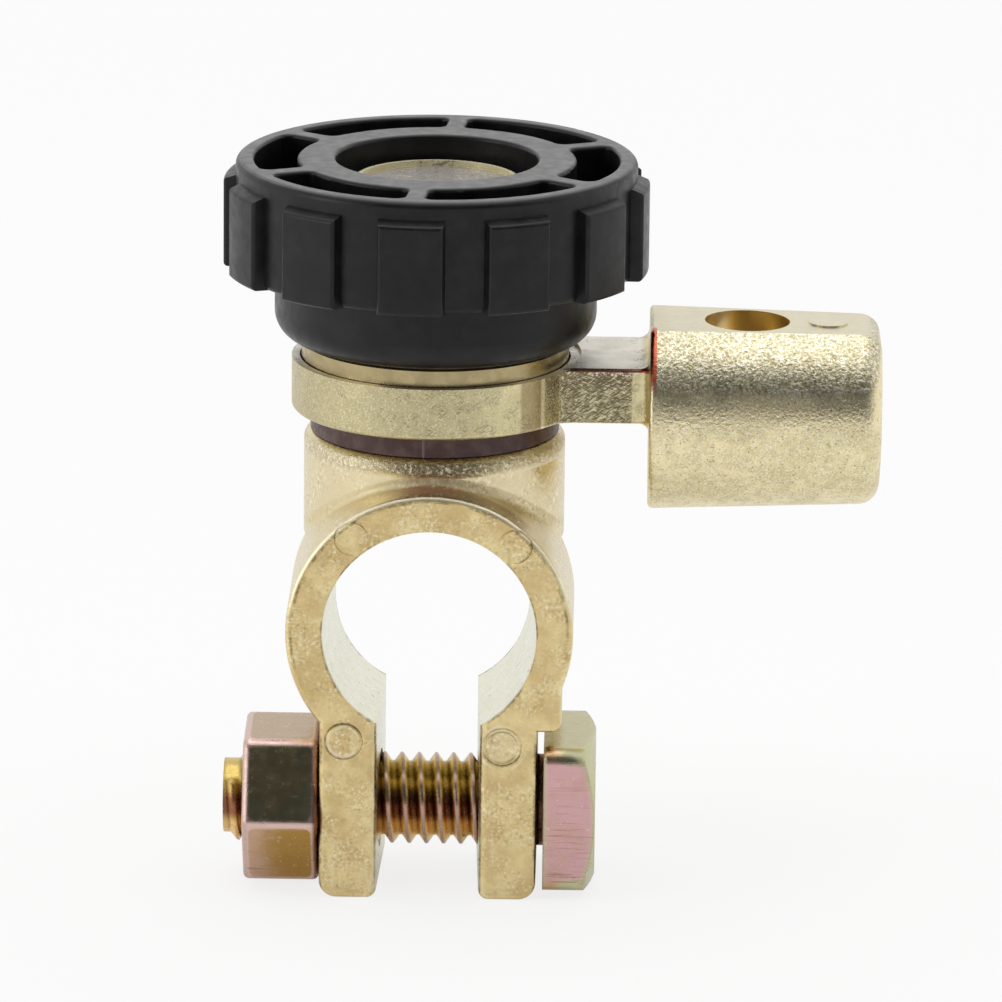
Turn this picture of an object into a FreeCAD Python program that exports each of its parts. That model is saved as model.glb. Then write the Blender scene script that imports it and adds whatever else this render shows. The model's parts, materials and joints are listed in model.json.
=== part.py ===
import FreeCAD
import Part
import math
import os

Vector = FreeCAD.Vector

# A battery disconnect switch: a cast brass post clamp, a cable arm that is insulated from it,
# and a hand knob whose screw presses a contact disc on to the arm. Millimetres, +Z up.
# The origin is where the knob's axis (Z) crosses the axis of the post bore (Y).
# The battery side faces -Y, and the arm points to +X.

# Post clamp: a split ring with two lugs below and a round boss on top
post_bore_front_r = 9.25
post_taper = 1 / 9
ring_depth = 13.2
ring_front_y = -14.7
ring_wall = 3.15
lug_gap = 8.9
lug_gap_draft = 0.8
lug_width = 4.95
lug_foot_z = -23.85
lug_outer_corner_r = 1.5
lug_inner_corner_r = 0.8
ledge_reach = 2.1
ledge_z = -8.6
ledge_corner_r = 0.8
boss_r = 11.4
boss_top_z = 14.8
boss_bottom_z = 5.5
boss_edge_r = 1.0
casting_edge_r = 0.45
boss_blend_r = 0.5

# Ejector marks on the clamp's front: three stand proud and the lower right one is sunk
mark_height = 0.15
upper_mark_ring_r = 10.9
upper_left_mark_angle = 128.0
upper_right_mark_angle = 47.9
upper_mark_r = 1.4
lower_left_mark_x = -7.3
lower_left_mark_z = -9.6
lower_right_mark_x = 6.4
lower_right_mark_z = -9.95
lower_left_mark_r = 1.55
lower_right_mark_r = 1.7

# Clamp bolt with its square head, and its hexagon nut
bolt_z = -16.7
bolt_r = 4.0
bolt_hole_clearance = 0.3
bolt_end_past_nut = 1.8
bolt_end_chamfer = 0.7
head_standoff = 0.6
head_width = 13.0
head_length = 4.5
head_edge_r = 1.3
head_chamfer_r = 6.35
head_chamfer_deg = 24
nut_width = 13.0
nut_length = 6.6
nut_seat_gap = 0.1
nut_turned_deg = 2.9
nut_edge_r = 0.9
nut_end_round = 0.55
thread_clearance = 0.05

# Insulation and the swaged spigot that hold the arm on the clamp
spigot_r = 5.2
tapped_hole_floor_z = 10.4
insulator_r = 10.85
insulator_thickness = 1.9
sleeve_wall = 1.25
assembly_clearance = 0.05
swivel_clearance = 0.08
arm_web = 1.2
upper_washer_r = 8.4
upper_washer_thickness = 0.8
retaining_washer_r = 7.4
retaining_washer_thickness = 0.4
swaged_lip_r = 6.4
swaged_lip_thickness = 0.4

# Cable arm: contact ring, flat arm and cable socket
arm_ring_r = 12.5
arm_thickness = 4.9
ring_facing_depth = 0.35
ring_facing_r = 12.7
contact_well_depth = 1.6
contact_well_clearance = 0.15
arm_width = 11.7
arm_top_edge_r = 0.25
arm_bottom_edge_r = 0.4
arm_ring_blend_r = 2.0
arm_socket_blend_r = 0.9
socket_start_x = 18.65
socket_length = 20.1
socket_start_r = 9.05
socket_end_r = 8.35
socket_axis_drop = 4.6
socket_flat_start = 7.8
socket_flat_end = 7.45
socket_end_round = 1.8
socket_back_round = 0.4
cable_bore_r = 5.5
cable_bore_depth = 17.0
screw_hole_r = 3.7
screw_hole_x = 27.1
socket_mark_x = 34.1
socket_mark_r = 1.7

# Contact disc and the knob's screw
disc_r = 11.65
disc_thickness = 2.95
disc_chamfer = 0.3
stud_r = 4.0
stud_neck_r = 3.3
stud_tip_gap = 0.6
stud_tip_chamfer = 0.8
stud_under_disc = 0.1
stud_hexagon_width = 10.0
stud_head_r = 7.25
stud_head_height = 0.8
stud_head_recess_r = 6.65
stud_head_recess_depth = 0.5
moulding_clearance = 0.02

# Hand knob
knob_height = 15.85
skirt_bottom_r = 11.6
skirt_r = 14.0
skirt_curve_height = 2.4
skirt_height = 6.15
knob_rim_r = 17.4
knob_rim_wall = 1.6
knob_rim_top_round = 0.6
knob_rim_bottom_round = 0.5
knob_edge_round = 0.35
lobe_count = 12
lobe_height = 1.05
lobe_width = 5.4
lobe_side_slope_deg = 7
lobe_drop = 1.55
lobe_bevel = 0.4
lobe_edge_r = 0.35
first_lobe_deg = -95.7
hub_r = 12.1
well_r = 8.75
well_depth = 2.6
pocket_depth = 7.8
spoke_count = 6
spoke_width = 1.8
pocket_corner_r = 0.8

# Sizes that follow from the ones above
ring_back_y = ring_front_y + ring_depth
ring_r = post_bore_front_r + ring_wall
post_bore_back_r = post_bore_front_r - ring_depth * post_taper / 2
lug_outer_x = lug_gap / 2 + lug_width
ledge_x = lug_outer_x + ledge_reach
bolt_y = (ring_front_y + ring_back_y) / 2
insulator_top_z = boss_top_z + insulator_thickness
sleeve_r = spigot_r + assembly_clearance + sleeve_wall
arm_bottom_z = insulator_top_z
arm_top_z = arm_bottom_z + arm_thickness
arm_web_top_z = arm_bottom_z + arm_web
contact_z = arm_top_z - contact_well_depth
upper_washer_top_z = arm_web_top_z + upper_washer_thickness
retaining_washer_top_z = upper_washer_top_z + retaining_washer_thickness
spigot_top_z = retaining_washer_top_z + swaged_lip_thickness
socket_axis_z = arm_top_z - socket_axis_drop
socket_end_x = socket_start_x + socket_length
disc_top_z = contact_z + disc_thickness
knob_bottom_z = disc_top_z
knob_top_z = knob_bottom_z + knob_height
well_floor_z = knob_top_z - well_depth
long_way = 60.0


def cylinder(radius, start, direction, length):
    return Part.makeCylinder(radius, length, start, direction)


def upright(radius, bottom_z, top_z):
    return cylinder(radius, Vector(0, 0, bottom_z), Vector(0, 0, 1), top_z - bottom_z)


def washer(outer_r, inner_r, bottom_z, top_z):
    return upright(outer_r, bottom_z, top_z).cut(upright(inner_r, bottom_z, top_z))


def box(x0, x1, y0, y1, z0, z1):
    return Part.makeBox(x1 - x0, y1 - y0, z1 - z0, Vector(x0, y0, z0))


def line(start, end):
    return Part.LineSegment(start, end).toShape()


def arc(start, middle, end):
    return Part.Arc(start, middle, end).toShape()


def revolved(points):
    """A solid turned about Z from a closed section of (radius, height) points."""
    section = [Vector(r, 0, z) for r, z in points]
    face = Part.Face(Part.makePolygon(section + section[:1]))
    return face.revolve(Vector(0, 0, 0), Vector(0, 0, 1), 360)


def rounded(shape, radius, chosen):
    """The shape with a fillet on each edge that the function chosen accepts."""
    edges = [edge for edge in shape.Edges if chosen(edge)]
    return shape.makeFillet(radius, edges)


def centre(edge):
    return edge.valueAt((edge.FirstParameter + edge.LastParameter) / 2)


def runs_along(edge, direction):
    """True for a straight edge parallel to the direction."""
    if edge.Curve.TypeId != "Part::GeomLine":
        return False
    return edge.tangentAt(edge.FirstParameter).cross(direction).Length < 1e-6


def hexagon_bar(width, start, direction, length, turned_deg):
    """A hexagonal bar across flats of width, with one flat turned about its axis from +Y."""
    corner_r = width / math.sqrt(3)
    corners = [
        Vector(corner_r * math.sin(math.radians(60 * k)), corner_r * math.cos(math.radians(60 * k)), 0)
        for k in range(7)
    ]
    bar = Part.Face(Part.makePolygon(corners)).extrude(Vector(0, 0, length))
    bar.rotate(Vector(0, 0, 0), Vector(0, 0, 1), turned_deg)
    turn = FreeCAD.Rotation(Vector(0, 0, 1), direction)
    bar.Placement = FreeCAD.Placement(start, turn).multiply(bar.Placement)
    return bar


def clamp_plate():
    """The ring, the lugs and the ledge over the bolt head, as one outline extruded from the front."""
    front = ring_front_y
    left_joint_z = -math.sqrt(ring_r**2 - lug_outer_x**2)
    ledge_joint_z = -math.sqrt(ring_r**2 - ledge_x**2)
    left_joint = Vector(-lug_outer_x, front, left_joint_z)
    ledge_joint = Vector(ledge_x, front, ledge_joint_z)
    ledge_corner = Vector(ledge_x, front, ledge_z)
    ledge_root = Vector(lug_outer_x, front, ledge_z)
    right_foot = Vector(lug_outer_x, front, lug_foot_z)
    left_foot = Vector(-lug_outer_x, front, lug_foot_z)
    outline = Part.Wire([
        arc(left_joint, Vector(0, front, ring_r), ledge_joint),
        line(ledge_joint, ledge_corner),
        line(ledge_corner, ledge_root),
        line(ledge_root, right_foot),
        line(right_foot, left_foot),
        line(left_foot, left_joint),
    ])
    return Part.Face(outline).extrude(Vector(0, ring_depth, 0))


def lug_gap_wedge():
    """The slot between the lugs, a little wider at the front as the casting's draft leaves it."""
    front_half = lug_gap / 2
    back_half = (lug_gap - lug_gap_draft) / 2
    below = lug_foot_z - 1
    corners = [
        Vector(-front_half, ring_front_y, below),
        Vector(front_half, ring_front_y, below),
        Vector(back_half, ring_back_y, below),
        Vector(-back_half, ring_back_y, below),
        Vector(-front_half, ring_front_y, below),
    ]
    return Part.Face(Part.makePolygon(corners)).extrude(Vector(0, 0, -below))


def on_boss_blend(edge):
    """True for the edges where the boss stands up from the outside of the ring."""
    for share in (0.25, 0.5, 0.75):
        span = edge.LastParameter - edge.FirstParameter
        at = edge.valueAt(edge.FirstParameter + share * span)
        if at.z < 0 or abs(math.hypot(at.x, at.z) - ring_r) > 1e-3:
            return False
        if abs(math.hypot(at.x, at.y) - boss_r) > 1e-3:
            return False
    return True


def front_mark(x, z, radius):
    return cylinder(radius, Vector(x, ring_front_y - mark_height, z), Vector(0, 1, 0), 2 * mark_height)


def polar_mark(angle_deg, radius):
    angle = math.radians(angle_deg)
    return front_mark(upper_mark_ring_r * math.cos(angle), upper_mark_ring_r * math.sin(angle), radius)


def clamp_body():
    """The cast clamp: split ring, lugs, boss, and the spigot swaged over the arm's washers."""
    plate = clamp_plate()
    plate = rounded(plate, ledge_corner_r, lambda edge: runs_along(edge, Vector(0, 1, 0))
                    and abs(centre(edge).x - ledge_x) < 1e-6 and centre(edge).z < ledge_z + 1e-6)
    plate = rounded(plate, lug_outer_corner_r, lambda edge: runs_along(edge, Vector(0, 1, 0))
                    and abs(centre(edge).z - lug_foot_z) < 1e-6)
    plate = rounded(plate, casting_edge_r, lambda edge: abs(centre(edge).y - ring_front_y) < 1e-6)
    boss = rounded(upright(boss_r, boss_bottom_z, boss_top_z), boss_edge_r,
                   lambda edge: abs(centre(edge).z - boss_top_z) < 1e-6)
    body = plate.fuse(boss).removeSplitter()
    body = rounded(body, boss_blend_r, on_boss_blend)

    post_bore = Part.makeCone(post_bore_front_r, post_bore_back_r, ring_depth,
                              Vector(0, ring_front_y, 0), Vector(0, 1, 0))
    behind_ring = cylinder(post_bore_back_r, Vector(0, ring_back_y, 0), Vector(0, 1, 0), long_way)
    body = body.cut(post_bore).cut(behind_ring).cut(lug_gap_wedge())

    gap_middle = lug_gap / 2 - lug_gap_draft / 4
    body = rounded(body, lug_inner_corner_r, lambda edge: abs(centre(edge).z - lug_foot_z) < 1e-6
                   and abs(abs(centre(edge).x) - gap_middle) < lug_gap_draft
                   and abs(edge.tangentAt(edge.FirstParameter).y) > 0.9)

    bolt_hole = cylinder(bolt_r + bolt_hole_clearance, Vector(-long_way / 2, bolt_y, bolt_z),
                         Vector(1, 0, 0), long_way)
    body = body.cut(bolt_hole)

    spigot = upright(spigot_r, boss_top_z - 1, spigot_top_z)
    lip = rounded(upright(swaged_lip_r, retaining_washer_top_z, spigot_top_z), swaged_lip_thickness * 0.6,
                  lambda edge: abs(centre(edge).z - spigot_top_z) < 1e-6)
    body = body.fuse(spigot).fuse(lip)
    body = body.cut(upright(stud_r + thread_clearance, tapped_hole_floor_z, spigot_top_z))

    body = body.fuse(polar_mark(upper_left_mark_angle, upper_mark_r))
    body = body.fuse(polar_mark(upper_right_mark_angle, upper_mark_r))
    body = body.fuse(front_mark(lower_left_mark_x, lower_left_mark_z, lower_left_mark_r))
    body = body.cut(front_mark(lower_right_mark_x, lower_right_mark_z, lower_right_mark_r))
    return body.removeSplitter()


def insulating_bush():
    """The moulded insulator: a flange under the arm's ring and a sleeve inside it."""
    flange = upright(insulator_r, boss_top_z, insulator_top_z)
    sleeve = upright(sleeve_r, boss_top_z, arm_web_top_z)
    inside = upright(spigot_r + assembly_clearance, boss_top_z, arm_web_top_z)
    return flange.fuse(sleeve).cut(inside).removeSplitter()


def upper_insulating_washer():
    return washer(upper_washer_r, spigot_r + assembly_clearance, arm_web_top_z, upper_washer_top_z)


def retaining_washer():
    return washer(retaining_washer_r, spigot_r + assembly_clearance, upper_washer_top_z,
                  retaining_washer_top_z)


def cable_socket():
    """A drafted round socket with a flat on top, blind-bored for the cable from its outer end."""
    socket = Part.makeCone(socket_start_r, socket_end_r, socket_length,
                           Vector(socket_start_x, 0, socket_axis_z), Vector(1, 0, 0))
    above = socket_start_r
    corners = [
        Vector(socket_start_x - 1, -long_way / 2, socket_axis_z + socket_flat_start),
        Vector(socket_end_x + 1, -long_way / 2, socket_axis_z + socket_flat_end),
        Vector(socket_end_x + 1, -long_way / 2, socket_axis_z + socket_flat_start + above),
        Vector(socket_start_x - 1, -long_way / 2, socket_axis_z + socket_flat_start + above),
    ]
    top = Part.Face(Part.makePolygon(corners + corners[:1])).extrude(Vector(0, long_way, 0))
    socket = socket.cut(top)
    socket = rounded(socket, socket_end_round, lambda edge: abs(centre(edge).x - socket_end_x) < 1e-6)
    return rounded(socket, socket_back_round, lambda edge: abs(centre(edge).x - socket_start_x) < 1e-6)


def cable_arm():
    """The cast arm: contact ring, flat arm and cable socket in one piece."""
    ring = upright(arm_ring_r, arm_bottom_z, arm_top_z)
    bar = box(0, socket_start_x + 1, -arm_width / 2, arm_width / 2, arm_bottom_z, arm_top_z)
    flat = ring.fuse(bar).removeSplitter()
    root_x = math.sqrt(arm_ring_r**2 - (arm_width / 2) ** 2)
    flat = rounded(flat, arm_ring_blend_r, lambda edge: runs_along(edge, Vector(0, 0, 1))
                   and abs(centre(edge).x - root_x) < 1e-3)
    flat = flat.cut(upright(ring_facing_r, arm_top_z - ring_facing_depth, arm_top_z))
    flat = rounded(flat, arm_top_edge_r, lambda edge: centre(edge).x < socket_start_x
                   and abs(centre(edge).z - arm_top_z) < 1e-6 and abs(centre(edge).y) > arm_width / 2 - 1e-3)
    flat = rounded(flat, arm_bottom_edge_r, lambda edge: centre(edge).x < socket_start_x
                   and abs(centre(edge).z - arm_bottom_z) < 1e-6)
    body = flat.fuse(cable_socket()).removeSplitter()
    body = rounded(body, arm_socket_blend_r, lambda edge: abs(centre(edge).x - socket_start_x) < 1e-6
                   and abs(centre(edge).y) < arm_width / 2 + 1e-6
                   and arm_bottom_z - 1e-6 < centre(edge).z < arm_top_z + 1e-6)
    body = body.cut(upright(sleeve_r + swivel_clearance, arm_bottom_z, arm_top_z))
    body = body.cut(upright(upper_washer_r + contact_well_clearance, arm_web_top_z, arm_top_z))
    body = body.cut(upright(disc_r + contact_well_clearance, contact_z, arm_top_z))
    body = body.cut(cylinder(cable_bore_r, Vector(socket_end_x - cable_bore_depth, 0, socket_axis_z),
                             Vector(1, 0, 0), cable_bore_depth))
    body = body.cut(cylinder(screw_hole_r, Vector(screw_hole_x, 0, socket_axis_z), Vector(0, 0, 1),
                             long_way))
    slope = (socket_flat_start - socket_flat_end) / (socket_length + 2)
    mark_z = socket_axis_z + socket_flat_start - slope * (socket_mark_x - socket_start_x + 1)
    mark = cylinder(socket_mark_r, Vector(socket_mark_x, 0, mark_z - mark_height),
                    Vector(slope, 0, 1), 2 * mark_height)
    return body.fuse(mark).removeSplitter()


def contact_disc():
    """A turned brass disc, captive on the screw's neck, that bridges the screw and the arm's ring."""
    inner = stud_neck_r + swivel_clearance
    return revolved([
        (inner, contact_z),
        (disc_r - disc_chamfer, contact_z),
        (disc_r, contact_z + disc_chamfer),
        (disc_r, disc_top_z - disc_chamfer),
        (disc_r - disc_chamfer, disc_top_z),
        (inner, disc_top_z),
    ])


def knob_stud():
    """The knob's screw: threaded end, plain neck, hexagon in the knob's hub and round head."""
    tip_z = tapped_hole_floor_z + stud_tip_gap
    thread_top_z = contact_z - stud_under_disc
    head_top_z = well_floor_z + stud_head_height
    screw = revolved([
        (0, tip_z),
        (stud_r - stud_tip_chamfer, tip_z),
        (stud_r, tip_z + stud_tip_chamfer),
        (stud_r, thread_top_z),
        (stud_neck_r, thread_top_z),
        (stud_neck_r, disc_top_z),
        (0, disc_top_z),
    ])
    hexagon = hexagon_bar(stud_hexagon_width, Vector(0, 0, disc_top_z), Vector(0, 0, 1),
                          well_floor_z - disc_top_z, 0)
    head = upright(stud_head_r, well_floor_z, head_top_z)
    head = rounded(head, stud_head_height / 3, lambda edge: abs(centre(edge).z - head_top_z) < 1e-6)
    recess = upright(stud_head_recess_r, head_top_z - stud_head_recess_depth, head_top_z)
    return screw.fuse(hexagon).fuse(head).cut(recess).removeSplitter()


def knob_section():
    """The knob's turned section: skirt, rim and well."""
    shoulder_z = knob_bottom_z + skirt_height
    curve_z = knob_bottom_z + skirt_curve_height
    turn = math.sqrt(0.5)
    e = knob_edge_round
    b = knob_rim_bottom_round

    def at(radius, height):
        return Vector(radius, 0, height)

    curve_in = skirt_r - skirt_bottom_r
    curve_middle = at(skirt_bottom_r + curve_in * turn, curve_z - skirt_curve_height * turn)
    return Part.Wire([
        line(at(0, knob_bottom_z), at(skirt_bottom_r, knob_bottom_z)),
        arc(at(skirt_bottom_r, knob_bottom_z), curve_middle, at(skirt_r, curve_z)),
        line(at(skirt_r, curve_z), at(skirt_r, shoulder_z)),
        line(at(skirt_r, shoulder_z), at(knob_rim_r - b, shoulder_z)),
        arc(at(knob_rim_r - b, shoulder_z), at(knob_rim_r - b * (1 - turn), shoulder_z + b * (1 - turn)),
            at(knob_rim_r, shoulder_z + b)),
        line(at(knob_rim_r, shoulder_z + b), at(knob_rim_r, knob_top_z - knob_rim_top_round)),
        arc(at(knob_rim_r, knob_top_z - knob_rim_top_round),
            at(knob_rim_r - knob_rim_top_round * (1 - turn), knob_top_z - knob_rim_top_round * (1 - turn)),
            at(knob_rim_r - knob_rim_top_round, knob_top_z)),
        line(at(knob_rim_r - knob_rim_top_round, knob_top_z), at(well_r + e, knob_top_z)),
        arc(at(well_r + e, knob_top_z), at(well_r + e * (1 - turn), knob_top_z - e * (1 - turn)),
            at(well_r, knob_top_z - e)),
        line(at(well_r, knob_top_z - e), at(well_r, well_floor_z)),
        line(at(well_r, well_floor_z), at(0, well_floor_z)),
        line(at(0, well_floor_z), at(0, knob_bottom_z)),
    ])


def knob_lobe():
    """One grip lobe, pointing to +X, with sloping sides and a bevelled top."""
    bottom_z = knob_bottom_z + skirt_height
    top_z = knob_top_z - lobe_drop
    root_r = knob_rim_r - knob_rim_wall / 2
    outer_r = knob_rim_r + lobe_height
    half = lobe_width / 2
    side = (outer_r - root_r) * math.tan(math.radians(lobe_side_slope_deg))
    corners = [
        Vector(root_r, -half - side, bottom_z),
        Vector(outer_r + 1, -half, bottom_z),
        Vector(outer_r + 1, half, bottom_z),
        Vector(root_r, half + side, bottom_z),
    ]
    wedge = Part.Face(Part.makePolygon(corners + corners[:1])).extrude(Vector(0, 0, top_z - bottom_z))
    band = revolved([
        (root_r - 1, bottom_z),
        (outer_r, bottom_z),
        (outer_r, top_z - lobe_bevel),
        (knob_rim_r, top_z),
        (root_r - 1, top_z),
    ])
    lobe = wedge.common(band)
    return rounded(lobe, lobe_edge_r, lambda edge: centre(edge).x > knob_rim_r + lobe_height * 0.7)


def knob_pocket():
    """One of the pockets between two spokes, with rounded corners."""
    floor_z = knob_top_z - pocket_depth
    ring = washer(knob_rim_r - knob_rim_wall, hub_r, floor_z, knob_top_z)
    spoke = box(0, knob_rim_r, -spoke_width / 2, spoke_width / 2, floor_z, knob_top_z)
    next_spoke = spoke.copy()
    next_spoke.rotate(Vector(0, 0, 0), Vector(0, 0, 1), 360 / spoke_count)
    pocket = min(ring.cut(spoke).cut(next_spoke).Solids, key=lambda solid: solid.Volume)
    return rounded(pocket, pocket_corner_r, lambda edge: runs_along(edge, Vector(0, 0, 1)))


def is_pocket_rim(edge):
    """True for the edges round the mouths of the pockets."""
    at = centre(edge)
    reach = math.hypot(at.x, at.y)
    inside = hub_r - 1e-3 < reach < knob_rim_r - knob_rim_wall + 1e-3
    return inside and abs(at.z - knob_top_z) < 1e-6


def turned_copies(shape, count):
    """Copies of the shape about Z, the first of them turned to the first lobe's place."""
    copies = []
    for k in range(count):
        copy = shape.copy()
        copy.rotate(Vector(0, 0, 0), Vector(0, 0, 1), first_lobe_deg + 360 / count * k)
        copies.append(copy)
    return copies


def hand_knob():
    """The moulded knob: lobed rim, and pockets that leave spokes and a hub, over a round skirt."""
    body = Part.Face(knob_section()).revolve(Vector(0, 0, 0), Vector(0, 0, 1), 360)
    body = body.cut(turned_copies(knob_pocket(), spoke_count))
    body = rounded(body, knob_edge_round, is_pocket_rim)
    body = body.fuse(turned_copies(knob_lobe(), lobe_count)).removeSplitter()
    socket = hexagon_bar(stud_hexagon_width + 2 * moulding_clearance, Vector(0, 0, knob_bottom_z),
                         Vector(0, 0, 1), well_floor_z - knob_bottom_z, 0)
    return body.cut(socket)


def chamfer_cone(head_x, length):
    """The turned shape whose cone takes the corners off the outer face of the bolt's head."""
    fall = length / math.tan(math.radians(head_chamfer_deg))
    turned = Part.makeCone(head_chamfer_r + fall, head_chamfer_r, length)
    turned.Placement = FreeCAD.Placement(Vector(head_x, bolt_y, bolt_z),
                                         FreeCAD.Rotation(Vector(0, 0, 1), Vector(1, 0, 0)))
    return turned


def clamp_bolt():
    """The square-headed clamp bolt, its thread as a plain cylinder."""
    head_x = lug_outer_x + head_standoff
    end_x = -(lug_outer_x + nut_seat_gap + nut_length + bolt_end_past_nut)
    half = head_width / 2
    head = box(head_x, head_x + head_length, bolt_y - half, bolt_y + half, bolt_z - half, bolt_z + half)
    head = rounded(head, head_edge_r, lambda edge: runs_along(edge, Vector(1, 0, 0)))
    head = head.common(chamfer_cone(head_x, head_length))
    shank = cylinder(bolt_r, Vector(end_x, bolt_y, bolt_z), Vector(1, 0, 0), head_x - end_x)
    shank = shank.makeChamfer(bolt_end_chamfer,
                              [edge for edge in shank.Edges if abs(centre(edge).x - end_x) < 1e-6
                               and edge.Curve.TypeId == "Part::GeomCircle"])
    return head.fuse(shank).removeSplitter()


def clamp_nut():
    """The hexagon nut, with its corners and the rims of both faces rounded."""
    seat_x = -(lug_outer_x + nut_seat_gap)
    start = Vector(seat_x - nut_length, bolt_y, bolt_z)
    along = Vector(1, 0, 0)
    nut = hexagon_bar(nut_width, start, along, nut_length, nut_turned_deg)
    nut = rounded(nut, nut_edge_r, lambda edge: runs_along(edge, along))
    nut = rounded(nut, nut_end_round, lambda edge: not runs_along(edge, along))
    return nut.cut(cylinder(bolt_r + thread_clearance, start, along, nut_length))


PIECES = {
    "clamp_body": clamp_body,
    "insulating_bush": insulating_bush,
    "cable_arm": cable_arm,
    "upper_insulating_washer": upper_insulating_washer,
    "retaining_washer": retaining_washer,
    "contact_disc": contact_disc,
    "knob_stud": knob_stud,
    "hand_knob": hand_knob,
    "clamp_bolt": clamp_bolt,
    "clamp_nut": clamp_nut,
}

os.makedirs("parts", exist_ok=True)
for name, make in PIECES.items():
    solid = make()
    print(name, len(solid.Solids), solid.isValid(), round(solid.Volume, 1))
    solid.exportStep("parts/" + name + ".step")
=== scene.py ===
import bmesh
import bpy
import json
import math
from mathutils import Matrix, Vector

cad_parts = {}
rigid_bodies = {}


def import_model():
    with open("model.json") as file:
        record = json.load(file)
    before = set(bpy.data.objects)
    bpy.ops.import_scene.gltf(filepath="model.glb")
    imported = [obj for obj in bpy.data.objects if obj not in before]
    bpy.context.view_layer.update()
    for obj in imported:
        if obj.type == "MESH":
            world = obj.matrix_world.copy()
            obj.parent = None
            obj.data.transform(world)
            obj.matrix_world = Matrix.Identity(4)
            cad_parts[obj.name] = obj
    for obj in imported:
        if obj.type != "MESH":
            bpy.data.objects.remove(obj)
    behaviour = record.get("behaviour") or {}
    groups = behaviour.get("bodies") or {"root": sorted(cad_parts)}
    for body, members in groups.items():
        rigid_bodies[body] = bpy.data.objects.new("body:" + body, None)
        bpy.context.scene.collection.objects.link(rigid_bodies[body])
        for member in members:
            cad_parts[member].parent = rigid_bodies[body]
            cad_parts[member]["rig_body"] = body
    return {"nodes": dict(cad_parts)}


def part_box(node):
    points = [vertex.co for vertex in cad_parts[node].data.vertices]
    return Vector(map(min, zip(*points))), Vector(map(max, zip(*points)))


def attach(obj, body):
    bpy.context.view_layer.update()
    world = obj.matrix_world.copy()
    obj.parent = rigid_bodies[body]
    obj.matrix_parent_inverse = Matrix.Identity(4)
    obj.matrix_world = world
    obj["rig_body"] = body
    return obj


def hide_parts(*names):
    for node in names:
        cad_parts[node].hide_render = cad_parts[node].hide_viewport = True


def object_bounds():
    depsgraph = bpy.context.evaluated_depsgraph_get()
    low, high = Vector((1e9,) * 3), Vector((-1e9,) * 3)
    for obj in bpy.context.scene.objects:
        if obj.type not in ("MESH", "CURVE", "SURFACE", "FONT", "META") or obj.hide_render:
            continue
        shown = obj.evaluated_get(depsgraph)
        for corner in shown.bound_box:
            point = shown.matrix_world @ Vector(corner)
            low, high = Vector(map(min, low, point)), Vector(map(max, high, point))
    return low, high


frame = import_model()
cad_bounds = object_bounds()
mm = 0.001


# The post clamp: one sand-coloured brass casting, tumbled after casting, with the post bore and
# the slot left as cast. Its front faces carry fine bright specks, its walls are paler and pitted.

def add_node(tree, kind, inputs=None, **settings):
    """A node of a finish; its inputs are numbers, colours or the outputs of other nodes."""
    made = tree.nodes.new(kind)
    for name, value in settings.items():
        setattr(made, name, value)
    for name, value in (inputs or {}).items():
        if isinstance(value, bpy.types.NodeSocket):
            tree.links.new(value, made.inputs[name])
        else:
            made.inputs[name].default_value = value
    return made


def new_finish(name, **shader_values):
    """An empty material with a Principled shader, whose constant sockets are set directly."""
    material = bpy.data.materials.new(name)
    material.use_nodes = True
    tree = material.node_tree
    shader = tree.nodes["Principled BSDF"]
    for socket, value in shader_values.items():
        shader.inputs[socket.replace("_", " ")].default_value = value
    place = add_node(tree, "ShaderNodeTexCoord").outputs["Object"]
    return material, tree, shader, place


def grain(tree, place, size, detail=2.0, roughness=0.5, stretch=None, turn=(0, 0, 0)):
    """Noise from 0 to 1 with features of the given size in metres, stretched along turned axes."""
    if stretch:
        place = add_node(tree, "ShaderNodeMapping", {"Vector": place, "Scale": stretch, "Rotation": turn},
                         vector_type="TEXTURE").outputs["Vector"]
    return add_node(tree, "ShaderNodeTexNoise", {"Vector": place, "Scale": 1 / size, "Detail": detail,
                                                 "Roughness": roughness}).outputs["Fac"]


def ramp(tree, value, low, high, to_low=0.0, to_high=1.0):
    """The value's range from low to high, spread over another range and held at its ends."""
    return add_node(tree, "ShaderNodeMapRange", {"Value": value, "From Min": low, "From Max": high,
                                                 "To Min": to_low, "To Max": to_high},
                    interpolation_type="SMOOTHSTEP").outputs["Result"]


def blend_colours(tree, share, first, second):
    mixed = add_node(tree, "ShaderNodeMix", data_type="RGBA")
    for index, value in ((0, share), (6, first), (7, second)):
        if isinstance(value, bpy.types.NodeSocket):
            tree.links.new(value, mixed.inputs[index])
        elif index == 0:
            mixed.inputs[index].default_value = value
        else:
            mixed.inputs[index].default_value = (*value, 1)
    return mixed.outputs[2]


def maths(tree, operation, first, second=0.0):
    made = add_node(tree, "ShaderNodeMath", operation=operation)
    for index, value in enumerate((first, second)):
        if isinstance(value, bpy.types.NodeSocket):
            tree.links.new(value, made.inputs[index])
        else:
            made.inputs[index].default_value = value
    return made.outputs[0]


def within(tree, value, low, high, soft):
    """1 where the value lies between low and high, falling to 0 over the soft width outside them."""
    return maths(tree, "MULTIPLY", ramp(tree, value, low - soft, low),
                 ramp(tree, value, high + soft, high))


def product(tree, *factors):
    result = factors[0]
    for factor in factors[1:]:
        result = maths(tree, "MULTIPLY", result, factor)
    return result


def distance(tree, first, second, first_centre=0.0, second_centre=0.0):
    """The distance of two coordinates from a centre."""
    parts = [maths(tree, "POWER", maths(tree, "SUBTRACT", value, middle), 2.0)
             for value, middle in ((first, first_centre), (second, second_centre))]
    return maths(tree, "SQRT", maths(tree, "ADD", *parts))


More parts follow.
